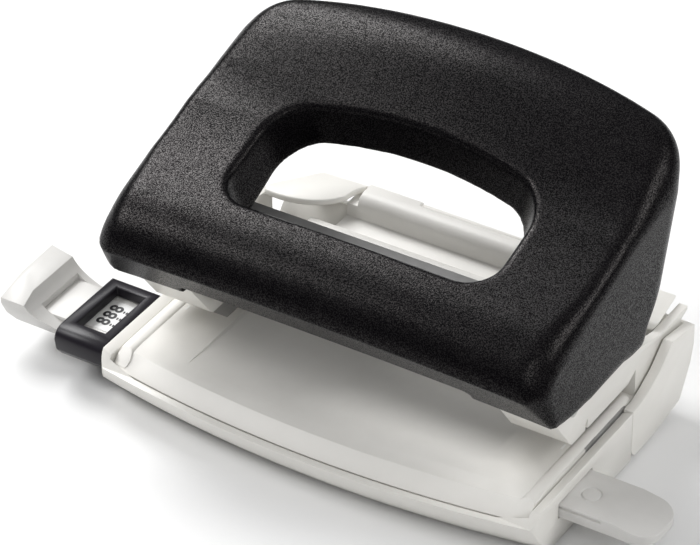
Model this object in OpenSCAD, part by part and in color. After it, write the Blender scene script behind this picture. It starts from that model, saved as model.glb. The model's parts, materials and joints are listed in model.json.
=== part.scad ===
// Compact two-hole desk punch: paper table in a tub, sprung handle, sliding paper guide, chip flap.
// Frame: +X right, +Y to the back, +Z up; origin on the desk, midway between the two punch holes.

/* [Punch] */
// Distance between the two hole centres
hole_spacing = 80; // [80:0.5:80]
// Punch pin diameter
pin_d = 5.5; // [5:0.1:6]
// Radial running clearance of the pins in guides and dies
pin_fit = 0.05; // [0.02:0.01:0.1]
// Pin stroke at full handle travel
pin_stroke = 6; // [5:0.1:6]

/* [Tub] */
// Overall width of tub and handle
body_w = 97; // [97:0.5:100]
// Wall thickness of the tub
tub_wall = 2.1; // [1.8:0.1:2.2]
// Height of the side rims
rim_z = 12; // [12:0.1:12.5]
// Height of the low front lip
lip_z = 8.9; // [8.5:0.1:9]
// Front of the lip at mid width
front_y = -37; // [-38:0.5:-36]
// Plan radius of the bowed front
front_bow_r = 255; // [220:5:300]
// Rear face at mid width
rear_y = 32; // [31.5:0.1:32.5]
// Seam between tub and chip flap
seam_y = 4.5; // [4:0.1:5]

/* [Table] */
// Height of the paper table
table_z = 11.6; // [11.4:0.1:11.8]
// Distance from hole line to the paper stop
stop_y = 9.8; // [9.5:0.1:10]

/* [Handle] */
// Half width of the handle cover
cover_x = 48.6; // [48.4:0.1:49]
// Wall thickness of the handle cover
cover_wall = 1.7; // [1.5:0.1:1.8]
// Height of the handle pivot
pivot_z = 24; // [23.5:0.1:24.5]
// Pivot distance in front of the hole line
pivot_y = -14; // [-14.5:0.1:-13.5]
// Diameter of the pivot pins
pivot_d = 3; // [2.5:0.1:3]
// Plan radius of the handle's bowed rear edge
cover_bow = 114; // [105:1:125]
// Plan radius of the handle's rear corners
cover_corner = 14; // [12:0.5:16]
// Lean of the handle's rear edge in degrees
cover_lean = 16.5; // [15:0.5:18]

/* [Guide] */
// Width of the sliding paper guide bar
bar_w = 12.2; // [11.5:0.1:12.5]
// Top of the guide bar
bar_top = 9.2; // [9:0.1:9.2]
// Thickness of the guide bar
bar_t = 3; // [2.5:0.1:3]

/* [Hidden] */
$fn = 64;
eps = 0.01;
gap = 0.3;
cover_rear = 31.5;
half_w = body_w / 2;
inner_x = half_w - tub_wall;
floor_z = 0.8;
floor_t = 1.6;
hole_x = hole_spacing / 2;
// Guide travel for an eight-centimetre pattern, then for A6, A5, letter and A4 sheets.
guide_stops = [0, 5.5, 36.5, 71.2, 80];
bow_cy = front_y + front_bow_r;
rear_bow_r = 660;
bar_mid_y = -17.3;
bar_y0 = bar_mid_y - bar_w / 2;
bar_y1 = bar_mid_y + bar_w / 2;
bar_z0 = bar_top - bar_t;
bar_right = 67.6;
bar_left = -68;
jaw_x0 = 33.4;
jaw_x1 = 46;
jaw_z = 16.3;
head_wall = 1.8;
guide_z0 = 14.4;
guide_z1 = 20;
pin_z0 = 14.6;
pin_z1 = 30.3;
collar_z = 28.2;
lever_z = 30.8;
lever_t = 1.5;
arm_x = 31.4;
cheek_x = 46;
wing_z = 21.5;
housing_x0 = -60.2;
housing_z = 11.9;
housing_y0 = -30.6;
housing_y1 = -10.2;
flap_y = seam_y + 0.25;
hinge_y = 7;
hinge_r = hinge_y - flap_y;
hinge_z = floor_z + hinge_r;
hinge_d = 2.2;
detent_x = -44;
plate_z = 7.8;
step_h = 1.05;
fold_x = 59.5;
label_y0 = bar_y0 + 0.6;
label_y1 = bar_y1 - 2;
pad_l = 72;
pad_w = 5;

// ---------- helpers ----------

function bez(a, b, c, d, n) =
    [for (i = [0:n - 1]) let (t = i / n, s = 1 - t)
        s * s * s * a + 3 * s * s * t * b + 3 * s * t * t * c + t * t * t * d];

// Extrudes a (Y, Z) outline along X between x0 and x1.
module along_x(x0, x1) {
    translate([x0, 0, 0])
        rotate([90, 0, 90])
            linear_extrude(x1 - x0) children();
}

// Axis-aligned box from its two corners.
module box(a, b) {
    translate(a) cube(b - a);
}

// Rectangle whose front and back corners have their own radii.
module round_rect(x0, x1, y0, y1, r_front, r_back) {
    translate([x0 + r_front, y0]) square([x1 - x0 - 2 * r_front, r_front + eps]);
    translate([x0, y0 + r_front]) square([x1 - x0, y1 - y0 - r_front - r_back]);
    translate([x0 + r_back, y1 - r_back - eps]) square([x1 - x0 - 2 * r_back, r_back + eps]);
    for (x = [x0 + r_front, x1 - r_front]) translate([x, y0 + r_front]) circle(r_front);
    for (x = [x0 + r_back, x1 - r_back]) translate([x, y1 - r_back]) circle(r_back);
}

module both_sides() {
    children();
    mirror([1, 0, 0]) children();
}

// ---------- tub, flap and feet ----------

// Solid inside the bowed front; inset moves the whole face back.
module bowed_front(inset, z0, z1) {
    translate([0, bow_cy, z0])
        rotate_extrude($fn = 360)
            polygon([[0, 0], [front_bow_r - 5.5 - inset, 0], [front_bow_r - 1.4 - inset, 5.4 - z0],
                     [front_bow_r - inset, lip_z - z0], [front_bow_r - inset, z1 - z0], [0, z1 - z0]]);
}

module bar_slot() {
    box([-80, bar_y0 - gap, bar_z0 - 0.2], [80, bar_y1 + gap, bar_top + gap]);
}

// Two anti-slip strips across the tub; grow makes the recesses that they are glued into.
module pad_strips(grow, z0, z1) {
    for (y = [-22, 0]) translate([0, y, z0]) linear_extrude(z1 - z0) {
        square([pad_l, pad_w + 2 * grow], center = true);
        for (x = [-pad_l / 2, pad_l / 2]) translate([x, 0]) circle(pad_w / 2 + grow);
    }
}

module base_tub() {
    color("#e8e5df") {
        tub_shell();
        both_sides() hinge_lug();
        for (x = [-18, 14]) box([x, bar_y0, floor_z + 1], [x + 2, bar_y1, bar_z0 - 0.25]);
        for (x = [-30, 28]) box([x, -8, floor_z + 1], [x + 2, 3, plate_z - 0.1]);
    }
}

// Lug inside the flap that carries one hinge pin.
module hinge_lug() {
    difference() {
        box([inner_x - 2.2, 0.5, floor_z + 1], [inner_x - 0.3, hinge_y + 1.9, 5]);
        translate([inner_x - 4, hinge_y, hinge_z]) rotate([0, 90, 0]) cylinder(d = hinge_d, h = 10);
    }
}

module tub_shell() {
    difference() {
        intersection() {
            bowed_front(0, floor_z, rim_z);
            box([-half_w, -50, 0], [half_w, seam_y, rim_z + 1]);
        }
        intersection() {
            bowed_front(1.5, floor_z + floor_t, rim_z + 1);
            box([-inner_x, -50, floor_z + floor_t], [inner_x, seam_y + 1, rim_z + 2]);
        }
        along_x(-60, 60) polygon([[-50, lip_z], [-32.3, lip_z], [-30.3, rim_z], [-30.3, 30], [-50, 30]]);
        both_sides() rotate([90, 0, 0]) translate([0, 0, -20])
            linear_extrude(60) polygon([[inner_x - 1, rim_z + 1], [inner_x - 1, rim_z - 0.7],
                                        [inner_x, rim_z - 0.7], [half_w, rim_z], [half_w, rim_z + 1]]);
        both_sides() translate([half_w - 2.9, -30, 0]) difference() {
            translate([0, -8, 0]) cube([4, 7.6, 20]);
            translate([0, 0, -1]) cylinder(r = 3, h = 22);
        }
        bar_slot();
        pad_strips(0.05, -1, floor_z + 0.8);
    }
}

module base_pads() {
    color("#4a4a4c") pad_strips(0, 0, floor_z + 0.75);
}

// Side outline of the flap; its lower front corner is an arc about the hinge.
module flap_profile(inset) {
    if (inset == 0) translate([hinge_y, hinge_z]) circle(hinge_r);
    polygon([[flap_y - inset, hinge_z], [hinge_y, floor_z + inset],
             [14, floor_z + 0.1 + inset], [24 - inset, 2.4 + inset],
             [28 - inset, 9.3], [30.2 - inset, 17.2 + inset], [20, 19 + 3 * inset],
             [15.2, 15.2 + 5 * inset], [10.8, 13.1 + 5 * inset], [7.4, rim_z + 0.1 + 5 * inset],
             [flap_y - inset, rim_z + 5 * inset]]);
}

module chip_flap() {
    color("#e9e6e0") difference() {
        intersection() {
            along_x(-half_w, half_w) flap_profile(0);
            translate([0, 30.8 - rear_bow_r, 0]) cylinder(r = rear_bow_r, h = 40, $fn = 720);
        }
        along_x(-inner_x, inner_x) flap_profile(1.6);
        along_x(-inner_x, inner_x) translate([hinge_y, hinge_z]) circle(hinge_r - 1.2);
        both_sides() box([inner_x - 2.5, 0, 0], [inner_x, hinge_y + 2.6, 6]);
        translate([-half_w, rear_y + 2, -1]) left_corner_cut(13);
        for (x = [-33, 33]) translate([x, 12.5, -1]) cylinder(r = 3.6, h = 2.6);
        both_sides() translate([inner_x - 1, hinge_y, hinge_z]) rotate([0, 90, 0])
            cylinder(d = hinge_d + 0.1, h = 2.6);
    }
}

// Removes the outside of the large radius at the rear left corner.
module left_corner_cut(r) {
    translate([0, -3.2, 0]) difference() {
        translate([-5, -r, 0]) cube([r + 5, r + 10, 60]);
        translate([r, -r, -1]) cylinder(r = r, h = 62);
    }
}

module rear_feet() {
    color("#4a4a4c") for (x = [-33, 33]) translate([x, 12.5, 0]) cylinder(r = 3.5, h = 1.55);
}

module flap_hinge_pins() {
    color("#b9bcc0") both_sides() translate([inner_x - 2.2, hinge_y, hinge_z]) rotate([0, 90, 0])
        cylinder(d = hinge_d, h = 3.7);
}

module latch_tab() {
    color("#e4e1da") difference() {
        along_x(-13.5, 13.5) polygon([[28.5, 17.52], [30.2, 17.22], [32.2, 18.2], [32.2, 20.6], [31.2, 21.8],
                                      [30.4, 21.8], [30.4, 18.3], [28.5, 18.3]]);
        box([-9, 31.6, 19], [9, 33, 20.4]);
    }
}

// ---------- table and dies ----------

// Table plate, bowed in front, with a ramp down to the lip.
module table_plate() {
    intersection() {
        translate([0, bow_cy, 0]) rotate_extrude($fn = 360)
            polygon([[0, 9.5], [front_bow_r - 9, 9.5], [front_bow_r - 6, 7.4], [front_bow_r - 2.5, 7.4],
                     [front_bow_r - 1.8, lip_z + 0.1], [front_bow_r - 5.3, table_z - 0.15],
                     [front_bow_r - 8, table_z], [0, table_z]]);
        box([-cheek_x, -50, 0], [cheek_x, stop_y, 20]);
    }
}

// Rounded rails along both sides of the table, which run down the ramp in front.
module table_rails() {
    intersection() {
        both_sides() translate([cheek_x - 1.6, 8, table_z - 1]) {
            rotate([90, 0, 0]) cylinder(r = 1.6, h = 45);
            sphere(r = 1.6);
        }
        translate([0, bow_cy, 0]) rotate_extrude($fn = 360)
            polygon([[0, 9.5], [front_bow_r - 2.3, 9.5], [front_bow_r - 5.2, table_z + 0.4],
                     [front_bow_r - 8, table_z + 0.7], [0, table_z + 0.7]]);
        box([-cheek_x, -50, 9.5], [cheek_x, stop_y, 20]);
    }
}

module paper_table() {
    color("#dedcd6") difference() {
        union() {
            table_plate();
            table_rails();
        }
        along_x(-32, 32) polygon([[-26, table_z], [-10, table_z - step_h],
                                    [stop_y + 1, table_z - step_h], [stop_y + 1, 20], [-26, 20]]);
        for (x = [-hole_x, hole_x]) {
            translate([x, 0, 5]) cylinder(d = 8, h = table_z - 5 + eps);
            translate([x - 6.2, -9.2, table_z - 1.6]) cube([12.4, 15.4, 1.6 + eps]);
        }
        for (x = [-24, 24]) translate([x, 2, 5]) cylinder(d = 2.6, h = 5.3);
    }
}

module chassis_plate() {
    color("#a9adb2") difference() {
        union() {
            box([-cheek_x + 0.3, -10, plate_z], [cheek_x - 0.3, 24.6, plate_z + 1.6]);
            box([-28, 23, plate_z + 1], [28, 24.6, 15.2]);
        }
        for (x = [-hole_x, hole_x]) translate([x, 0, 5]) cylinder(d = 9, h = 10);
        for (x = [-24, 24]) translate([x, 2, 5]) cylinder(d = 2.1, h = 10);
        both_sides() translate([cheek_x - 6, 14, 0]) cube([10, 20, 20]);
    }
}

module table_screws() {
    color("#8f9398") for (x = [-24, 24]) translate([x, 2, 0]) difference() {
        union() {
            translate([0, 0, 5.2]) cylinder(d = 4.6, h = 2.5);
            translate([0, 0, 7.6]) cylinder(d = 2, h = 2.6);
        }
        translate([0, 0, 5]) linear_extrude(1) square([3, 0.7], center = true);
        translate([0, 0, 5]) linear_extrude(1) square([0.7, 3], center = true);
    }
}

module die_plates() {
    color("#9da1a6") for (x = [-hole_x, hole_x]) translate([x, 0, table_z - 1.6]) difference() {
        translate([-6, -9, 0]) cube([12, 15, 1.5]);
        translate([0, 0, -1]) cylinder(d = pin_d + 2 * pin_fit, h = 5);
    }
}

// ---------- punch heads ----------

head_profile = [[-14.6, jaw_z], [-15.4, 16.9], [-22.4, 26.6], [-21.4, 28.2], [-13, 29.2], [-10.4, 28.2],
                [-9, 24.5], [6, 24.5], [10, 22.5], [19.5, 20], [30.4, 20], [30.4, 19.2], [27.9, 18.3],
                [27.6, 16.9], [25.9, 9.7],
                [stop_y, 9.7], [stop_y, 17.9], [6.9, jaw_z]];
head_hollow = [[-14.2, jaw_z + head_wall], [-20.1, 26.4], [-19.4, 40], [4.4, 40], [9.4, 21],
               [9.4, 19.2], [6.2, jaw_z + head_wall]];

// Punch head on the right-hand side.
module head() {
    difference() {
        along_x(jaw_x0, jaw_x1) polygon(head_profile);
        along_x(jaw_x0 + head_wall, jaw_x1 - head_wall) polygon(head_hollow);
        box([jaw_x0 - 1, -9.5, 21.5], [jaw_x0 + head_wall + eps, 60, 40]);
        box([jaw_x0 - 1, stop_y + 2, 9], [jaw_x1 - head_wall, 60, 40]);
        box([hole_x - 4.6, -4.6, jaw_z - 1], [hole_x + 4.2, 6.1, jaw_z + 4]);
        translate([jaw_x0 - 1, pivot_y, pivot_z]) rotate([0, 90, 0]) cylinder(d = pivot_d + 0.1, h = 20);
        along_x(jaw_x1 - 0.7, jaw_x1 + 1) polygon([[-9.6, jaw_z - 1], [-8.7, jaw_z - 1], [-8.7, 18.2],
                                                   [-9, 18.6], [-9.6, 17.6]]);
    }
}

module right_head() {
    color("#e9e6e0") head();
}

module left_head() {
    color("#e9e6e0") difference() {
        mirror([1, 0, 0]) head();
        translate([-cheek_x, rear_y + 1, 0]) left_corner_cut(13);
    }
}

module wing_outline() {
    polygon(concat([[44.2, 19.8], [44.2, 30.6], [26.2, 31.4]],
                   bez([26.2, 31.4], [29.4, 27.4], [27.6, 26.2], [29, 25], 6),
                   bez([29, 25], [31, 21.6], [37, 18.6], [44.2, 19.8], 10)));
}

module left_wing() {
    color("#dddad2") intersection() {
        translate([0, 0, wing_z - 1.4]) mirror([1, 0, 0]) linear_extrude(1.4) wing_outline();
        translate([0, 0, wing_z - 2]) linear_extrude(3)
            polygon([[-24, 10], [-24, 34], [-36.6, 31.2], [-43.7, 21.9], [-44, 10]]);
    }
}

module right_wing() {
    color("#e2dfd9") difference() {
        along_x(38, cheek_x - 0.1) polygon([[19.6, 20.1], [20.6, 21.2], [22.2, wing_z], [30.4, wing_z],
                                           [31.2, 20.8], [30.9, 20.1]]);
        translate([cheek_x - 2, 14, 19]) rotate([0, 38, 8]) cube([6, 18, 6]);
    }
}

module cross_beam() {
    color("#cfccc6") union() {
        box([-jaw_x0 + gap, 18.4, 9.5], [jaw_x0 - gap, 20.4, 18.2]);
        box([-jaw_x0 + gap, stop_y + 0.1, 9.5], [jaw_x0 - gap, 11.4, 14.4]);
        box([-jaw_x0 + gap, 11.3, 9.5], [jaw_x0 - gap, 18.5, 11]);
    }
}

module rear_cover() {
    color("#dcd9d2") difference() {
        along_x(-28.4, 37.7) polygon(concat([[26.2, 16.9], [20.6, 16.9], [20.6, 15.4], [27.3, 15.4],
            [27.7, 17.9], [30.2, 18], [30.3, 19.3], [32, 19.3], [32, 21.4], [31.4, 22]],
            bez([28.9, 22], [27.4, 22], [26.2, 21], [26.2, 19.4], 6)));
        box([-30, 24, 19.7], [-25.9, 34, 23]);
        along_x(-13.8, 13.8) polygon([[28.2, 17], [33, 17], [33, 23], [30.2, 23], [30.2, 18.6], [28.2, 18.6]]);
    }
}

// ---------- punching parts ----------

module pin_guide() {
    difference() {
        box([hole_x - 4.4, -4.4, guide_z0], [hole_x + 4, 5.9, guide_z1]);
        translate([hole_x, 0, 0]) cylinder(d = pin_d + 2 * pin_fit, h = 40);
    }
}

module punch_pin() {
    translate([hole_x, 0, 0]) difference() {
        union() {
            translate([0, 0, pin_z0]) cylinder(d = pin_d, h = pin_z1 - pin_z0 - 1);
            translate([0, 0, pin_z1 - 4]) intersection() {
                sphere(r = 4);
                cylinder(d = pin_d, h = 5);
            }
        }
        translate([0, 0, pin_z0 - 5.3]) rotate([90, 0, 0]) cylinder(r = 6, h = 10, center = true);
    }
}

module pin_collar() {
    translate([hole_x, 0, collar_z]) difference() {
        cylinder(d = 8, h = 1);
        translate([0, 0, -1]) cylinder(d = pin_d, h = 3);
    }
}

// Coil of the return spring, swept ring by ring.
module return_spring() {
    turns = 5;
    steps = 14;
    wire = 0.4;
    coil_r = 3.5;
    z0 = guide_z1 + wire + 0.05;
    pitch = (collar_z - wire - 0.05 - z0) / turns;
    rings = turns * steps;
    sides = 6;
    points = [for (i = [0:rings], j = [0:sides - 1])
        let (a = i * 360 / steps, b = j * 360 / sides, r = coil_r + wire * cos(b))
            [hole_x + r * cos(a), r * sin(a), z0 + pitch * i / steps + wire * sin(b)]];
    faces = concat(
        [[for (j = [0:sides - 1]) j]],
        [for (i = [0:rings - 1], j = [0:sides - 1])
            [i * sides + j, (i + 1) * sides + j, (i + 1) * sides + (j + 1) % sides,
             i * sides + (j + 1) % sides]],
        [[for (j = [sides - 1:-1:0]) rings * sides + j]]);
    polyhedron(points, faces);
}

module left_pin_guide() { color("#85898e") mirror([1, 0, 0]) pin_guide(); }
module right_pin_guide() { color("#85898e") pin_guide(); }
module left_punch_pin() { color("#c4c8cc") mirror([1, 0, 0]) punch_pin(); }
module right_punch_pin() { color("#c4c8cc") punch_pin(); }
module left_pin_collar() { color("#6f7378") mirror([1, 0, 0]) pin_collar(); }
module right_pin_collar() { color("#6f7378") pin_collar(); }
module left_return_spring() { color("#9a9ea3") mirror([1, 0, 0]) return_spring(); }
module right_return_spring() { color("#9a9ea3") return_spring(); }

// ---------- handle ----------

module lever_frame() {
    color("#8b9096") difference() {
        union() {
            box([-43.6, -9, lever_z], [43.6, 1.8, lever_z + lever_t]);
            both_sides() along_x(arm_x, arm_x + 1.5) polygon([[pivot_y - 3, pivot_z + 1.5],
                [pivot_y - 3, pivot_z - 1.5], [pivot_y - 1.5, pivot_z - 3], [pivot_y + 1.5, pivot_z - 3],
                [pivot_y + 3.4, pivot_z - 1], [1.8, lever_z - 1.6], [1.8, lever_z + 0.5],
                [-9, lever_z + 0.5], [pivot_y - 1, pivot_z + 4]]);
        }
        translate([-50, pivot_y, pivot_z]) rotate([0, 90, 0]) cylinder(d = pivot_d + 2, h = 100);
        for (x = [-38.5, 38.5]) translate([x, -6.5, 25]) cylinder(d = 2.6, h = 10);
    }
}

module lever_bushes() {
    color("#d8cfa8") both_sides() translate([arm_x - 0.4, pivot_y, pivot_z]) rotate([0, 90, 0]) difference() {
        union() {
            cylinder(d = pivot_d + 2, h = 2);
            cylinder(d = pivot_d + 3.6, h = 0.4);
        }
        translate([0, 0, -1]) cylinder(d = pivot_d + 0.1, h = 5);
    }
}

module handle_screws() {
    color("#8f9398") for (x = [-38.5, 38.5]) translate([x, -6.5, lever_z]) {
        translate([0, 0, -1.6]) cylinder(d = 4.8, h = 1.6);
        translate([0, 0, -0.1]) cylinder(d = 2.2, h = 7);
    }
}

// Side outline of the handle: front edge, long rise, crest, then the leaning rear edge.
cover_top = concat(
    [[-26.6, 29.6]],
    bez([-32.9, 38.2], [-32, 43.6], [-27.8, 46.8], [-20.5, 48.4], 10),
    bez([-20.5, 48.4], [-6, 51.6], [2, 54.4], [10, 60.2], 10),
    bez([10, 60.2], [17, 65.2], [20, 67.6], [25, 67.6], 8),
    bez([25, 67.6], [29.5, 67.6], [32, 66], [32, 62], 6),
    [[32, 62], [29, 52], [9.6, 32.2]],
    bez([9.2, 31], [8.4, 28.6], [7, 28.2], [4, 28], 5),
    [[4, 28], [-12, 27.7], [-20, 28.4]]);

// Plan of the handle across its leaning back: straight sides, rounded corners, bowed rear edge.
module cover_plan(inset) {
    r = cover_corner - inset;
    x = cover_x - cover_corner;
    bow = cover_bow - inset;
    yc = -cover_bow + sqrt(pow(cover_bow - cover_corner, 2) - x * x);
    translate([-x - r, -110]) square([2 * (x + r), 110 + yc]);
    for (s = [-1, 1]) translate([s * x, yc]) circle(r);
    intersection() {
        translate([0, -cover_bow]) circle(bow, $fn = 240);
        polygon([[0, -cover_bow], [x * 1.2, (yc + cover_bow) * 1.2 - cover_bow],
                 [-x * 1.2, (yc + cover_bow) * 1.2 - cover_bow]]);
    }
}

// Leaning block that bounds the handle's bowed back; inset makes it smaller all round.
module cover_back(inset) {
    translate([0, cover_rear, 62]) rotate([-cover_lean, 0, 0]) translate([0, 0, -60])
        linear_extrude(80) cover_plan(inset);
}

module cover_body() {
    intersection() {
        along_x(-cover_x, cover_x) polygon(cover_top);
        cover_back(0);
    }
}

// Hollow of the handle: the outline moved in, open below.
module cover_hollow() {
    intersection() {
        along_x(-cover_x + cover_wall, cover_x - cover_wall) union() {
            offset(delta = -cover_wall) polygon(cover_top);
            polygon([[-29.5, 37.6], [-24.8, 29.7], [-22, 20], [40, 20], [40, 48], [28, 54]]);
        }
        cover_back(cover_wall);
    }
}

module window_outline(grow) {
    intersection() {
        round_rect(-30 - grow, 30 + grow, -19.5 - grow, 9 + grow, 6.5 + grow, 9 + grow);
        translate([0, 8 + grow - 86]) circle(86, $fn = 180);
    }
}

module handle_cover() {
    color("#2a292c") difference() {
        union() {
            difference() {
                cover_body();
                cover_hollow();
            }
            intersection() {
                translate([0, 0, 38]) linear_extrude(40) window_outline(cover_wall);
                along_x(-40, 40) polygon([[-25, 38.5], [-14, 40], [0, 44], [13, 50], [13, 62], [5, 57],
                                          [-8, 51.4], [-21, 48]]);
            }
            for (x = [-38.5, 38.5]) intersection() {
                translate([x, -6.5, lever_z + lever_t]) cylinder(d = 6, h = 30);
                cover_body();
            }
        }
        translate([0, 0, 30]) linear_extrude(60) window_outline(0);
        for (x = [-38.5, 38.5]) translate([x, -6.5, 20]) cylinder(d = 2.2, h = 18.5);
        box([-32.3, -40, 20], [32.3, -20, 30.9]);
        box([-46.5, -9, 20], [46.5, 12, 34.8]);
    }
}

module pivot_pins() {
    color("#b9bcc0") both_sides() translate([30.2, pivot_y, pivot_z]) rotate([0, 90, 0])
        cylinder(d = pivot_d, h = jaw_x1 - 0.4 - 30.2);
}

module pivot_clips() {
    color("#5f6367") both_sides() translate([30.3, pivot_y, pivot_z]) rotate([0, 90, 0]) difference() {
        cylinder(d = pivot_d + 2.6, h = 0.6);
        translate([0, 0, -1]) cylinder(d = pivot_d, h = 3);
    }
}

// ---------- paper guide ----------

module format_housing() {
    color("#35313a") difference() {
        along_x(housing_x0, -half_w - 0.05) polygon(concat([[housing_y1 - 1.2, 4.2], [housing_y1, 5.4],
            [housing_y1, housing_z]],
            bez([-27.6, housing_z], [-29.8, housing_z], [housing_y0, 10.6], [housing_y0, 8.6], 6),
            [[housing_y0 + 0.5, 7], [-28.6, 5.2], [-26, 4.2]]));
        bar_slot();
        box([-57.6, -26.2, 8], [-50.9, -12.4, 20]);
    }
}

module detent_spring() {
    x0 = detent_x - 2;
    y0 = bar_mid_y - 2.7;
    z0 = floor_z + floor_t;
    color("#a5a9ae") {
        box([x0 + 0.5, y0, z0], [x0 + 10, y0 + 5.4, z0 + 0.5]);
        box([x0, y0, z0], [x0 + 0.5, y0 + 5.4, bar_z0 - 0.8]);
        box([x0, y0, bar_z0 - 1.3], [x0 + 9, y0 + 5.4, bar_z0 - 0.8]);
        translate([detent_x, bar_mid_y, bar_z0 - 1.4]) cylinder(r = 1, h = 1.1);
    }
}

module bar_outline() {
    round_end = 4.5;
    translate([bar_left, bar_y0]) square([bar_right - bar_left - round_end, bar_w]);
    translate([bar_right - round_end - eps, bar_y0 + round_end]) square([round_end, bar_w - 2 * round_end]);
    for (y = [bar_y0 + round_end, bar_y1 - round_end])
        translate([bar_right - round_end, y]) circle(round_end);
}

module guide_bar() {
    color("#dadcdd") difference() {
        union() {
            translate([0, 0, bar_z0]) linear_extrude(bar_t) bar_outline();
            translate([52, -17.6, bar_top - eps]) intersection() {
                cylinder(d = 3.3, h = 1);
                translate([0, 0, -7.83]) sphere(r = 8);
            }
        }
        translate([44, bar_y0 - eps, bar_top - 1]) cube([13, 0.4, 0.5]);
        for (x = [-62:8:44]) translate([x, bar_y1 - 0.5, bar_z0 - 1]) cube([1.2, 2, 6]);
        for (t = guide_stops) translate([detent_x + t, bar_mid_y, bar_z0 - 2.3]) sphere(r = 2.6);
        box([-59, label_y0, bar_top - 0.3], [27, label_y1, bar_top + 1]);
        translate([fold_x, -40, bar_top]) rotate([0, 9, 0]) cube([20, 40, 3]);
        translate([52, -17.6, bar_top - 0.25]) difference() {
            cylinder(d = 4.1, h = 1);
            translate([0, 0, -1]) cylinder(d = 3.5, h = 3);
        }
    }
}

module format_strip() {
    color("#f4f4f2") box([-58.9, label_y0 + 0.1, bar_top - 0.3], [26.9, label_y1 - 0.1, bar_top - 0.05]);
}

module guide_stop() {
    color("#d6d4d0") difference() {
        along_y_stop();
        bar_pocket();
    }
}

// Body of the end stop: tall outer edge, hollow curved face down to the bar.
module along_y_stop() {
    intersection() {
        translate([0, -9.7, 0]) rotate([90, 0, 0]) linear_extrude(17.6)
            polygon(concat([[-75, 14], [-75, 7.5], [-72.5, 5.4], [-61, 5.4], [-61, 6]],
                bez([-61, 7.6], [-66.5, 8.8], [-69.6, 11.2], [-70.6, 14], 8)));
        along_x(-90, -50) polygon([[-9.7, 5], [-9.7, 14], [-20, 13.7], [-27.3, 12], [-27.3, 10.6],
                                   [-25, 6], [-24, 5]]);
    }
}

module bar_pocket() {
    box([bar_left - 0.02, bar_y0 - 0.02, bar_z0 - 0.02], [0, bar_y1 + 0.02, 20]);
}

base_tub();
base_pads();
chip_flap();
rear_feet();
flap_hinge_pins();
latch_tab();
paper_table();
chassis_plate();
table_screws();
die_plates();
left_head();
right_head();
left_wing();
right_wing();
cross_beam();
rear_cover();
left_pin_guide();
right_pin_guide();
left_punch_pin();
right_punch_pin();
left_pin_collar();
right_pin_collar();
left_return_spring();
right_return_spring();
lever_frame();
lever_bushes();
handle_screws();
handle_cover();
pivot_pins();
pivot_clips();
format_housing();
detent_spring();
guide_bar();
guide_stop();
format_strip();
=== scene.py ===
"""Looks of the compact desk hole punch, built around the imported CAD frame.

Sizes of pieces are in millimetres. Those of materials, the floor, lights and the camera are in metres.
"""
import json
import math

import bmesh
import bpy
import numpy as np
from mathutils import Matrix, Vector


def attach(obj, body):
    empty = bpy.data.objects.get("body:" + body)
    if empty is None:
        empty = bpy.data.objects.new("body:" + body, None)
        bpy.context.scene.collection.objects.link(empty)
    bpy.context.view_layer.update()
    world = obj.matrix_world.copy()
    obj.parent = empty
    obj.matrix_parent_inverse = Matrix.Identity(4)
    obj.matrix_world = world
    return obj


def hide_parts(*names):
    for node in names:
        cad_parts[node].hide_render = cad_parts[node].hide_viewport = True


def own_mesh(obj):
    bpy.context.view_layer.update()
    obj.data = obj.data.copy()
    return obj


MM = 0.001
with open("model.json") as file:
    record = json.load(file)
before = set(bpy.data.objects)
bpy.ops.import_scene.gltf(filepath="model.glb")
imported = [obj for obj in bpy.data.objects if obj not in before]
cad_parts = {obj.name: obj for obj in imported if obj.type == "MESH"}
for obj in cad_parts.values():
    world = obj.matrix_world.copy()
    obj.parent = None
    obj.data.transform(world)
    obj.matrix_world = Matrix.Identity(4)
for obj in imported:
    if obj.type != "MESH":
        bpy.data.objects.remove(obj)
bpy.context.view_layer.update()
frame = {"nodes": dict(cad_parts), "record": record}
body_of = {node: body
           for body, nodes in frame["record"]["behaviour"]["bodies"].items()
           for node in nodes}
slot_of = {row["node"]: row["material_slot"] for row in frame["record"]["subparts"]}


def new_object(name, data):
    """An object in the scene."""
    thing = bpy.data.objects.new(name, data)
    bpy.context.scene.collection.objects.link(thing)
    return thing


# ---------- materials ----------

# The handle's grain: size of one glint, the part of the noise that glints, and the tint of its gloss.
GLINT_SIZE = 0.00022
GLINT_NOISE = (0.4, 0.68)
WARM_GLOSS = (1.0, 0.94, 0.92)
# Size of the faint waves in a moulded face, and the middle of a noise, where most of its values lie.
WAVE_SIZE = 0.012
NOISE_MIDDLE = (0.3, 0.7)


def add(tree, kind, inputs=(), **settings):
    """A new shader node with its settings and the numbers or links of its inputs."""
    node = tree.nodes.new(kind)
    for key, value in settings.items():
        setattr(node, key, value)
    for key, value in dict(inputs).items():
        if isinstance(value, bpy.types.NodeSocket):
            tree.links.new(value, node.inputs[key])
        else:
            node.inputs[key].default_value = value
    return node


def noise(tree, where, size, detail=2.0, roughness=0.5):
    """Noise whose features are about size metres across."""
    inputs = {"Vector": where, "Scale": 1 / size, "Detail": detail, "Roughness": roughness}
    return add(tree, "ShaderNodeTexNoise", inputs).outputs["Fac"]


def spread(tree, value, low, high):
    """Maps the middle of a noise onto a range."""
    inputs = {"Value": value, "From Min": NOISE_MIDDLE[0], "From Max": NOISE_MIDDLE[1],
              "To Min": low, "To Max": high}
    return add(tree, "ShaderNodeMapRange", inputs).outputs["Result"]


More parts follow.
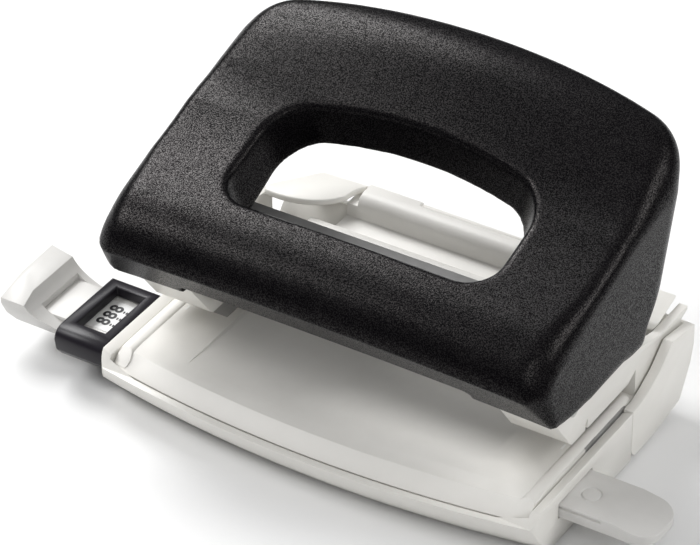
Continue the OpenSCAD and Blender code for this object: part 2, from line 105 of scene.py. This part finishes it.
def surface(name, dark, light, mottle, rough, grain, depth, specular=0.5, metallic=0.0,
            stretch=(1, 1, 1), wave=0.0, glint=None):
    """A procedural surface: mottled colour, uneven roughness, fine grain and a faint larger waviness.

    mottle and grain are feature sizes, depth and wave are heights; rough is a low and a high roughness.
    glint is the lowest and highest specular level of single grains, which then replace specular and
    shine a little warm.
    """
    material = bpy.data.materials.new(name)
    material.use_nodes = True
    tree = material.node_tree
    shader = tree.nodes["Principled BSDF"]
    place = add(tree, "ShaderNodeTexCoord").outputs["Object"]
    along = add(tree, "ShaderNodeMapping", {"Vector": place, "Scale": stretch}).outputs["Vector"]
    broad = noise(tree, place, mottle, 4.0, 0.6)
    fine = noise(tree, along, grain, 2.5, 0.55)
    pick = add(tree, "ShaderNodeMix", {"Factor": spread(tree, broad, 0.0, 1.0)}, data_type="RGBA")
    pick.inputs["A"].default_value = (*dark, 1)
    pick.inputs["B"].default_value = (*light, 1)
    tree.links.new(pick.outputs["Result"], shader.inputs["Base Color"])
    uneven = add(tree, "ShaderNodeMath", {0: broad, 1: fine}, operation="ADD").outputs[0]
    half = add(tree, "ShaderNodeMath", {0: uneven, 1: 0.5}, operation="MULTIPLY").outputs[0]
    tree.links.new(spread(tree, half, *rough), shader.inputs["Roughness"])
    bump = add(tree, "ShaderNodeBump", {"Height": fine, "Distance": depth, "Strength": 1.0})
    if wave:
        slow = noise(tree, place, WAVE_SIZE, 1.0)
        base = add(tree, "ShaderNodeBump", {"Height": slow, "Distance": wave, "Strength": 1.0})
        tree.links.new(base.outputs["Normal"], bump.inputs["Normal"])
    tree.links.new(bump.outputs["Normal"], shader.inputs["Normal"])
    shader.inputs["Metallic"].default_value = metallic
    shader.inputs["Specular IOR Level"].default_value = specular
    if glint:
        spots = noise(tree, place, GLINT_SIZE, 1.0, 0.4)
        inputs = {"Value": spots, "From Min": GLINT_NOISE[0], "From Max": GLINT_NOISE[1],
                  "To Min": glint[0], "To Max": glint[1]}
        level = add(tree, "ShaderNodeMapRange", inputs, interpolation_type="SMOOTHSTEP")
        tree.links.new(level.outputs["Result"], shader.inputs["Specular IOR Level"])
        shader.inputs["Specular Tint"].default_value = (*WARM_GLOSS, 1)
    return material


MATERIALS = {
    "tub_plastic": surface("tub_plastic", (0.775, 0.76, 0.72), (0.80, 0.785, 0.745), 0.006, (0.34, 0.48),
                           0.00028, 0.000006, wave=0.00001),
    "table_plastic": surface("table_plastic", (0.765, 0.75, 0.715), (0.79, 0.775, 0.74), 0.005, (0.4, 0.52),
                             0.0003, 0.000009, wave=0.00001),
    "handle_plastic": surface("handle_plastic", (0.0022, 0.002, 0.0026), (0.0036, 0.0033, 0.004), 0.004,
                              (0.26, 0.34), 0.0003, 0.00004, glint=(0.02, 0.31)),
    "housing_plastic": surface("housing_plastic", (0.006, 0.0045, 0.008), (0.009, 0.007, 0.012), 0.004,
                               (0.3, 0.4), 0.0003, 0.000008, specular=0.32),
    "bar_plastic": surface("bar_plastic", (0.62, 0.61, 0.59), (0.655, 0.645, 0.625), 0.006, (0.34, 0.46),
                           0.0003, 0.000006, wave=0.000008),
    "label_film": surface("label_film", (0.80, 0.80, 0.79), (0.86, 0.86, 0.85), 0.003, (0.25, 0.35),
                          0.0002, 0.000002),
    "bush_plastic": surface("bush_plastic", (0.62, 0.57, 0.42), (0.68, 0.63, 0.48), 0.003, (0.35, 0.45),
                            0.0002, 0.000004),
    "foot_rubber": surface("foot_rubber", (0.045, 0.045, 0.05), (0.07, 0.07, 0.075), 0.002, (0.7, 0.85),
                           0.00015, 0.00002),
    "plain_steel": surface("plain_steel", (0.46, 0.455, 0.45), (0.54, 0.535, 0.53), 0.004, (0.38, 0.52),
                           0.0004, 0.000004, metallic=0.45, stretch=(0.08, 1, 1)),
    "bright_steel": surface("bright_steel", (0.62, 0.63, 0.65), (0.70, 0.71, 0.73), 0.003, (0.14, 0.24),
                            0.0003, 0.000002, metallic=1.0, stretch=(1, 1, 0.1)),
    "dark_steel": surface("dark_steel", (0.10, 0.10, 0.11), (0.16, 0.16, 0.17), 0.002, (0.3, 0.45),
                          0.0002, 0.000005, metallic=1.0),
    "print_ink": surface("print_ink", (0.012, 0.012, 0.014), (0.02, 0.02, 0.022), 0.001, (0.35, 0.5),
                         0.0001, 0.000002),
    "pad_print": surface("pad_print", (0.82, 0.82, 0.80), (0.88, 0.88, 0.86), 0.001, (0.35, 0.5),
                         0.0001, 0.000002),
}


def finish_piece(piece, body, slot, *replaced, material=None):
    """Gives a piece the material of its slot, or the material named, ties it to its body, and hides the CAD
    nodes that it stands for.
    """
    piece.data.materials.clear()
    piece.data.materials.append(MATERIALS[material or slot])
    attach(piece, body)
    if replaced:
        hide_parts(*replaced)


# ---------- solids from signed distances ----------

# How a mesh is drawn onto its surface: the number of pulls, the longest pull in cells, the step that
# measures the field's slope, and the least slope that is trusted.
PULLS = 4
PULL_LIMIT = 0.35
PROBE = 0.02
LEAST_SLOPE = 0.5


def curve(a, b, c, d, n):
    """n points of a cubic curve, without its end."""
    t = (np.arange(n) / n)[:, None]
    a, b, c, d = (np.array(p, float) for p in (a, b, c, d))
    s = 1 - t
    return [tuple(p) for p in s ** 3 * a + 3 * s * s * t * b + 3 * s * t * t * c + t ** 3 * d]


def outline(points, u, v):
    """Signed distance to a closed outline, negative inside."""
    nearest = np.inf
    inside = np.zeros(np.broadcast(u, v).shape, bool)
    for (au, av), (bu, bv) in zip(points, points[1:] + points[:1]):
        eu, ev = bu - au, bv - av
        t = np.clip(((u - au) * eu + (v - av) * ev) / (eu * eu + ev * ev), 0, 1)
        nearest = np.minimum(nearest, (u - au - t * eu) ** 2 + (v - av - t * ev) ** 2)
        if ev:
            inside ^= ((av <= v) != (bv <= v)) & (u < au + (v - av) * eu / ev)
    return np.where(inside, -1, 1) * np.sqrt(nearest)


def both(r, *parts):
    """Intersection whose outer edges are rounded to radius r."""
    parts = np.broadcast_arrays(*parts)
    outside = sum(np.maximum(p + r, 0) ** 2 for p in parts)
    return np.minimum(np.maximum.reduce(parts) + r, 0) + np.sqrt(outside) - r


def either(r, *parts):
    """Union whose inner corners are filled to radius r."""
    return -both(r, *[-p for p in parts])


def block(x, y, z, low, high):
    """Distance to a box between two corners."""
    sides = [np.maximum(a - p, p - b) for p, a, b in zip((x, y, z), low, high)]
    return both(0.0, *sides)


def rod(u, v, centre, radius):
    """Distance to a round rod, seen along its axis."""
    return np.sqrt((u - centre[0]) ** 2 + (v - centre[1]) ** 2) - radius


def net(name, field, low, high, cell):
    """Mesh of the surface where the field is 0, as a net of quads drawn onto it."""
    axes = [np.arange(a, b + cell, cell) for a, b in zip(low, high)]
    values = field(*np.meshgrid(*axes, indexing="ij", sparse=True))
    n = [len(a) - 1 for a in axes]
    total = np.zeros((*n, 3))
    count = np.zeros(n)
    crossings = []
    for axis in range(3):
        v = np.moveaxis(values, axis, 0)
        cross = (v[:-1] < 0) != (v[1:] < 0)
        share = np.where(cross, v[:-1] / np.where(cross, v[:-1] - v[1:], 1), 0)
        first, second = [k for k in range(3) if k != axis]
        sums, counts = np.moveaxis(total, axis, 0), np.moveaxis(count, axis, 0)
        for p in (0, 1):
            for q in (0, 1):
                part = np.s_[:, p:p + n[first], q:q + n[second]]
                sums[..., axis] += share[part]
                sums[..., first] += cross[part] * p
                sums[..., second] += cross[part] * q
                counts += cross[part]
        crossings.append((cross[:, 1:-1, 1:-1], (v[:-1] < 0)[:, 1:-1, 1:-1]))
    used = count > 0
    index = np.full(n, -1)
    index[used] = np.arange(used.sum())
    cells = np.argwhere(used)
    points = np.array(low) + cell * (cells + total[used] / count[used][:, None])
    faces = []
    for axis, (cross, leaving) in enumerate(crossings):
        i = np.moveaxis(index, axis, 0)
        quads = np.stack([i[:, :-1, :-1], i[:, 1:, :-1], i[:, 1:, 1:], i[:, :-1, 1:]], -1)[cross]
        keep = leaving[cross] != (axis == 1)
        faces.append(np.where(keep[:, None], quads, quads[:, ::-1]))
    for _ in range(PULLS):
        points = pull(field, points, PULL_LIMIT * cell)
    mesh = bpy.data.meshes.new(name)
    mesh.from_pydata((points * MM).tolist(), [], np.concatenate(faces).tolist())
    mesh.shade_smooth()
    return new_object(name, mesh)


def pull(field, points, limit):
    """Moves points onto the surface along the field's slope, by at most limit."""
    h = PROBE
    x, y, z = points.T
    value = field(x, y, z)
    slope = np.stack([field(x + h, y, z) - field(x - h, y, z),
                      field(x, y + h, z) - field(x, y - h, z),
                      field(x, y, z + h) - field(x, y, z - h)], 1) / (2 * h)
    size = np.maximum((slope ** 2).sum(1), LEAST_SLOPE ** 2)
    move = -slope * (value / size)[:, None]
    length = np.maximum(np.linalg.norm(move, axis=1), 1e-9)
    return points + move * np.minimum(1, limit / length)[:, None]


# ---------- handle cover ----------

# Plan of the handle: its rear edge lies at COVER_REAR at the height REAR_HEIGHT and leans by COVER_LEAN.
COVER_HALF = 48.8
COVER_WALL = 1.8
COVER_REAR = 33.0
REAR_HEIGHT = 62
COVER_LEAN = math.radians(18)
COVER_BOW = 240.0
COVER_CORNER = 10.0
# How the sides draw in above a height, and how far the crest drops towards its two ends.
COVER_DRAFT = 0.008
DRAFT_FOOT = 30
CREST_DRAFT = 0.12
CREST_FOOT = 53
CREST_DROP = 5.0
# The drop starts at DROP_FRONT and is whole after DROP_RUN; it is nowhere less than this share.
DROP_FRONT = -5
DROP_RUN = 25
DROP_LEAST = 0.2
# Side view of the handle: its upper curve in Y and Z, its whole outline, and the hollow below.
COVER_CURVE = ([(-26.3, 29.1)]
               + curve((-32.9, 38.2), (-32, 43.6), (-27.8, 46.8), (-20.5, 48.4), 14)
               + curve((-20.5, 48.4), (-6, 51.6), (2, 54.4), (10, 60.2), 14)
               + curve((10, 60.2), (17, 64.6), (21, 67.6), (26.5, 67.6), 12)
               + curve((26.5, 67.6), (30.5, 67.6), (34, 66), (34, 62), 8)
               + [(34, 62)])
COVER_SIDE = (COVER_CURVE + [(29, 52), (9.6, 32.2)]
              + curve((9.2, 31), (8.4, 28.2), (7, 27.8), (4, 27.6), 6)
              + [(4, 27.6), (-12, 27.2), (-20, 27.9)])
COVER_ABOVE = COVER_CURVE + [(34, -20), (-12, -20)]
COVER_BELOW = [(-29.5, 37.6), (-24.8, 29.7), (-22, 20), (40, 20), (40, 48), (28, 54)]
# Radius of the upper edges at places along Y. It grows to this size over EDGE_RISE above EDGE_FOOT.
EDGE_PLACES = (-34, -12, 4, 30)
EDGE_SIZES = (7.0, 3.2, 3.2, 6.5)
EDGE_FOOT = 26
EDGE_RISE = 16
EDGE_LEAST = 0.25
# Along the lower edge, over SKIRT_HEIGHT, the sides lean in by SKIRT_LEAN for each millimetre.
SKIRT_LEAN = 0.3
SKIRT_HEIGHT = 1.7
# Small edges of the shell: its outer skin, its lower lip, the corners of its hollow and its cuts.
SKIN_EDGE = 0.35
LIP_EDGE = 0.7
HOLLOW_CORNER = 2.4
CUT_EDGE = 0.5
# Finger opening and the wall around it, whose depth changes along WINDOW_SPAN.
WINDOW_HALF = 29.6
WINDOW_FRONT = -19.1
WINDOW_REAR = 7.6
WINDOW_BOW = 115.0
WINDOW_CORNER = 7.0
WINDOW_TAPER = 0.34
WINDOW_DEPTH = 10.4
WINDOW_DEPTH_REAR = 8.0
WINDOW_SPAN = (-18, 8)
WINDOW_EDGE = 1.1
RIM_WALL = 1.7
RIM_EDGE = 0.4
RIM_FILLET = 0.8
# Screw bosses under the top.
BOSS_X = 38.5
BOSS_Y = -6.5
BOSS_RADIUS = 3.0
BOSS_FOOT = 32.4
BOSS_EDGE = 0.2
BOSS_COVER = 0.5
# Long notch in the front lower edge, and the room that the punch heads need over the whole press.
NOTCH_X = -0.5
NOTCH_HALF = 31.5
NOTCH_REAR = -20
NOTCH_TOP = 30.9
NOTCH_CORNER = 1.2
CLEAR_LOW = (-46.7, -9, 20)
CLEAR_HIGH = (46.7, 16, 35.2)
# Box and cell size of the mesh.
COVER_LOW = (-50, -34.5, 26)
COVER_HIGH = (50, 34, 69.5)
COVER_CELL = 0.62


def cover_plan(x, y, z):
    """Distance to the leaning plan of the handle: straight sides, rounded corners, bowed rear edge."""
    v = (y - COVER_REAR) * math.cos(COVER_LEAN) - (z - REAR_HEIGHT) * math.sin(COVER_LEAN)
    u = (np.abs(x) + COVER_DRAFT * np.maximum(z - DRAFT_FOOT, 0)
         + CREST_DRAFT * np.maximum(z - CREST_FOOT, 0))
    cx = COVER_HALF - COVER_CORNER
    cy = math.sqrt((COVER_BOW - COVER_CORNER) ** 2 - cx * cx) - COVER_BOW
    corner = rod(u, v, (cx, cy), COVER_CORNER)
    bow = rod(u, v, (0, -COVER_BOW), COVER_BOW)
    past = u * (cy + COVER_BOW) > (v + COVER_BOW) * cx
    return np.where(v < cy, u - COVER_HALF, np.where(past, corner, bow))


def window(x, y, depth):
    """Distance to the finger opening, which narrows with the depth below the handle's surface."""
    depth = np.clip(depth, 0, WINDOW_DEPTH)
    side = np.abs(x) - WINDOW_HALF + WINDOW_TAPER * depth
    near = both(WINDOW_CORNER, side, WINDOW_FRONT - y)
    far = both(WINDOW_CORNER, side, rod(x, y, (0, WINDOW_REAR - WINDOW_BOW), WINDOW_BOW))
    return np.maximum(near, far)


def cover_edge(y, z):
    """Radius of the handle's edges: smallest beside the opening, and crisp at the lower corners."""
    return np.interp(y, EDGE_PLACES, EDGE_SIZES) * np.clip((z - EDGE_FOOT) / EDGE_RISE, EDGE_LEAST, 1)


def cover_field(x, y, z):
    """Distance to the whole handle shell."""
    arch = CREST_DROP * (x / COVER_HALF) ** 2 * np.clip((y - DROP_FRONT) / DROP_RUN, DROP_LEAST, 1)
    above = outline(COVER_ABOVE, y, z + arch)
    side = outline(COVER_SIDE, y, z + arch)
    plan = cover_plan(x, y, z)
    skirt = SKIRT_LEAN * np.maximum(0, SKIRT_HEIGHT + side) * (side > above + 0.1)
    outer = both(SKIN_EDGE, both(cover_edge(y, z), above, plan + skirt), side)
    below = outline(COVER_BELOW, y, z)
    inner = both(HOLLOW_CORNER, np.minimum(side + COVER_WALL, below), plan + COVER_WALL)
    shell = both(LIP_EDGE, outer, -inner)
    hole = window(x, y, -above)
    depth = np.interp(y, WINDOW_SPAN, (WINDOW_DEPTH, WINDOW_DEPTH_REAR))
    rim = both(RIM_EDGE, hole - RIM_WALL, -above - depth, above)
    bosses = [both(BOSS_EDGE, rod(x, y, (c, BOSS_Y), BOSS_RADIUS), BOSS_FOOT - z, above + BOSS_COVER)
              for c in (-BOSS_X, BOSS_X)]
    solid = np.maximum(either(RIM_FILLET, shell, rim, *bosses), outer)
    solid = both(WINDOW_EDGE, solid, -hole)
    notch = both(NOTCH_CORNER, np.abs(x - NOTCH_X) - NOTCH_HALF, y - NOTCH_REAR, z - NOTCH_TOP)
    clear = block(x, y, z, CLEAR_LOW, CLEAR_HIGH)
    return both(CUT_EDGE, solid, -np.minimum(notch, clear))


def make_cover():
    """The handle's shell, which stands for the simpler CAD cover."""
    piece = net("handle_shell", cover_field, COVER_LOW, COVER_HIGH, COVER_CELL)
    finish_piece(piece, "handle", "handle_plastic", "handle_cover")


# ---------- rounded copies of CAD shells ----------

# Points closer than this are one point, and faces that turn by less than this are one face.
MERGE_DISTANCE = 0.002
FLAT_ANGLE = math.radians(0.4)
# Edges that turn by more than EDGE_ANGLE are rounded. Those past SHARP_ANGLE are shaded as sharp.
EDGE_ANGLE = math.radians(30)
SHARP_ANGLE = math.radians(38)
# Widths of the rounded edges.
EDGE_WIDTHS = {"base_tub": 0.45, "chip_flap": 0.45, "paper_table": 0.3, "left_head": 0.9, "right_head": 0.9,
               "left_wing": 0.3, "right_wing": 0.35, "cross_beam": 0.3, "rear_cover": 0.3,
               "latch_tab": 0.25, "format_housing": 0.4, "guide_stop": 0.5, "guide_bar": 0.2}


def make_rounded(node, width):
    """A copy of a CAD node with its edges rounded to width."""
    mesh = frame["nodes"][node].data.copy()
    mesh.name = node + "_rounded"
    work = bmesh.new()
    work.from_mesh(mesh)
    bmesh.ops.remove_doubles(work, verts=work.verts, dist=MERGE_DISTANCE * MM)
    bmesh.ops.dissolve_limit(work, angle_limit=FLAT_ANGLE, verts=work.verts, edges=work.edges)
    work.to_mesh(mesh)
    work.free()
    piece = new_object(node + "_rounded", mesh)
    edge = piece.modifiers.new("edges", "BEVEL")
    edge.width = width * MM
    edge.segments = 2
    edge.limit_method = "ANGLE"
    edge.angle_limit = EDGE_ANGLE
    done = bpy.data.meshes.new_from_object(piece.evaluated_get(bpy.context.evaluated_depsgraph_get()))
    piece.modifiers.clear()
    piece.data = done
    done.shade_smooth()
    done.set_sharp_from_angle(angle=SHARP_ANGLE)
    finish_piece(piece, body_of[node], slot_of[node], node)


# ---------- printed marks ----------

BAR_TOP = 9.2
TABLE_TOP = 11.6
# Printed bars reach from INK_LOW to INK_HIGH above their face, and digits stand in the middle.
INK_LOW = 0.01
INK_MIDDLE = 0.02
INK_HIGH = 0.03
# Share of a bar's shorter side that is trimmed off its corners.
TRIM_SHARE = 0.2
# The scale: one digit and a pair of marks in each row.
SCALE_ROWS = 3
ROW_PITCH = 2.35
DIGIT_X = -54.3
DIGIT_Y = -20.2
DIGIT_SIZE = 4.0
DIGIT_RELIEF = 0.01
DIGIT_WEIGHT = 0.09
MARK_X = -53.7
MARK_Y = -20.5
MARK_PITCH = 0.6
MARK_HALF_X = 0.14
MARK_HALF_Y = 0.35
# White ticks on the paper table.
TICK_X = 42.1
TICK_HALF = 0.2
TICK_FRONT = -11.6
TICK_REAR = -9.9


def plate(name, low, high):
    """Thin printed bar between two corners, with its upright edges trimmed."""
    work = bmesh.new()
    bmesh.ops.create_cube(work, size=1)
    size = Vector(high) - Vector(low)
    middle = (Vector(high) + Vector(low)) / 2
    stretch = Matrix.Translation(middle * MM) @ Matrix.Diagonal((*(size * MM), 1))
    bmesh.ops.transform(work, matrix=stretch, verts=work.verts)
    upright = [e for e in work.edges if abs(e.verts[0].co.z - e.verts[1].co.z) > 1e-6]
    trim = min(size.x, size.y) * TRIM_SHARE * MM
    bmesh.ops.bevel(work, geom=upright, offset=trim, segments=2, affect="EDGES")
    mesh = bpy.data.meshes.new(name)
    work.to_mesh(mesh)
    work.free()
    return new_object(name, mesh)


def make_scale():
    """The format scale in the window: a digit and a pair of marks for each row of the hole pattern."""
    top = (BAR_TOP + INK_MIDDLE) * MM
    turn = Matrix.Rotation(math.radians(90), 4, "Z")
    for i in range(SCALE_ROWS):
        name = f"format_digit_{i + 1}"
        text = bpy.data.curves.new(name, "FONT")
        text.body = "8"
        text.size = DIGIT_SIZE * MM
        text.extrude = DIGIT_RELIEF * MM
        text.offset = DIGIT_WEIGHT * MM
        text.align_x = "CENTER"
        digit = new_object(name, text)
        place = (DIGIT_X * MM, (DIGIT_Y + ROW_PITCH * i) * MM, top)
        digit.matrix_world = Matrix.Translation(place) @ turn
        finish_piece(digit, "guide", "label_film", material="print_ink")
    for i in range(SCALE_ROWS):
        for k in range(2):
            x = MARK_X + MARK_PITCH * k
            y = MARK_Y + ROW_PITCH * i
            mark = plate(f"format_mark_{i + 1}_{k + 1}",
                         (x - MARK_HALF_X, y - MARK_HALF_Y, BAR_TOP + INK_LOW),
                         (x + MARK_HALF_X, y + MARK_HALF_Y, BAR_TOP + INK_HIGH))
            finish_piece(mark, "guide", "label_film", material="print_ink")


def make_ticks():
    """White paper marks on the table in front of both punch holes."""
    for name, x in (("table_tick_left", -TICK_X), ("table_tick_right", TICK_X)):
        tick = plate(name, (x - TICK_HALF, TICK_FRONT, TABLE_TOP + INK_LOW),
                     (x + TICK_HALF, TICK_REAR, TABLE_TOP + INK_HIGH))
        finish_piece(tick, "base", "table_plastic", material="pad_print")


# ---------- return springs ----------


def make_springs():
    """Copies of the return springs, each with a mesh of its own; the real springs shorten by the pins'
    travel as the handle goes down.
    """
    for node in ("left_return_spring", "right_return_spring"):
        piece = new_object(node + "_coil", frame["nodes"][node].data.copy())
        finish_piece(piece, "base", slot_of[node], node)
        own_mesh(piece)


# ---------- everything in its place ----------

make_cover()
make_springs()
for node, width in EDGE_WIDTHS.items():
    make_rounded(node, width)
for name, node in frame["nodes"].items():
    if not node.hide_render:
        node.data.materials.clear()
        node.data.materials.append(MATERIALS[slot_of[name]])
make_scale()
make_ticks()


# ---------- floor, light and camera ----------

FLOOR_HALF = 3
LIGHT_TARGET = (0, 0, 0.03)
# Brightness of the sky at its dim and its bright end, and the heights of those two ends, from 0 to 1.
SKY_LEVEL = (0.07, 0.5)
SKY_HEIGHT = (0.12, 0.75)
CAMERA_PLACE = (0.3251, -0.5367, 0.4798)
CAMERA_AZIMUTH = math.radians(32.078)
CAMERA_ELEVATION = math.radians(35.675)
CAMERA_ROLL = math.radians(-0.413)
CAMERA_LENS = 208.9


def make_floor():
    """A plain pale floor under the object."""
    h = FLOOR_HALF
    mesh = bpy.data.meshes.new("floor")
    mesh.from_pydata([(-h, -h, 0), (h, -h, 0), (h, h, 0), (-h, h, 0)], [], [(0, 1, 2, 3)])
    floor = new_object("floor", mesh)
    mesh.materials.append(surface("floor_paint", (0.79, 0.79, 0.79), (0.81, 0.81, 0.81), 0.05, (0.6, 0.7),
                                  0.002, 0.00002))


def make_light(name, place, size, power):
    """A round soft light that faces the object."""
    lamp = bpy.data.lights.new(name, "AREA")
    lamp.shape = "DISK"
    lamp.size = size
    lamp.energy = power
    light = new_object(name, lamp)
    light.location = place
    aim = Vector(LIGHT_TARGET) - Vector(place)
    light.rotation_euler = aim.to_track_quat("-Z", "Y").to_euler()


def make_sky():
    """A soft dome: bright overhead, dim at the horizon."""
    world = bpy.data.worlds.new("studio")
    world.use_nodes = True
    bpy.context.scene.world = world
    tree = world.node_tree
    where = add(tree, "ShaderNodeTexCoord").outputs["Generated"]
    height = add(tree, "ShaderNodeSeparateXYZ", {0: where}).outputs["Z"]
    inputs = {"Value": height, "From Min": SKY_HEIGHT[0], "From Max": SKY_HEIGHT[1],
              "To Min": SKY_LEVEL[0], "To Max": SKY_LEVEL[1]}
    level = add(tree, "ShaderNodeMapRange", inputs, interpolation_type="SMOOTHSTEP")
    tree.links.new(level.outputs["Result"], tree.nodes["Background"].inputs["Strength"])
    tree.nodes["Background"].inputs["Color"].default_value = (1, 1, 1, 1)


def make_camera():
    """The camera stands in front, to the right and above, far away with a long lens."""
    turn, tilt = CAMERA_AZIMUTH, CAMERA_ELEVATION
    side = Vector((math.cos(turn), math.sin(turn), 0))
    rise = Vector((-math.sin(turn) * math.sin(tilt), math.cos(turn) * math.sin(tilt), math.cos(tilt)))
    back = side.cross(rise)
    right = side * math.cos(CAMERA_ROLL) + rise * math.sin(CAMERA_ROLL)
    up = rise * math.cos(CAMERA_ROLL) - side * math.sin(CAMERA_ROLL)
    lens = bpy.data.cameras.new("camera")
    lens.lens = CAMERA_LENS
    lens.sensor_width = 36
    lens.clip_end = 20
    camera = new_object("camera", lens)
    axes = Matrix((right, up, back)).transposed().to_4x4()
    camera.matrix_world = Matrix.Translation(CAMERA_PLACE) @ axes
    bpy.context.scene.camera = camera


make_floor()
make_sky()
make_light("key_light", (-0.66, 0.34, 0.78), 0.55, 8.6)
make_light("fill_light", (0.5, -0.62, 0.72), 0.5, 1.8)
make_light("front_light", (-0.66, -0.3, 0.72), 0.4, 4)
make_light("right_light", (0.75, 0.25, 0.55), 0.4, 2.6)
make_camera()
bpy.context.scene.view_settings.view_transform = "Standard"
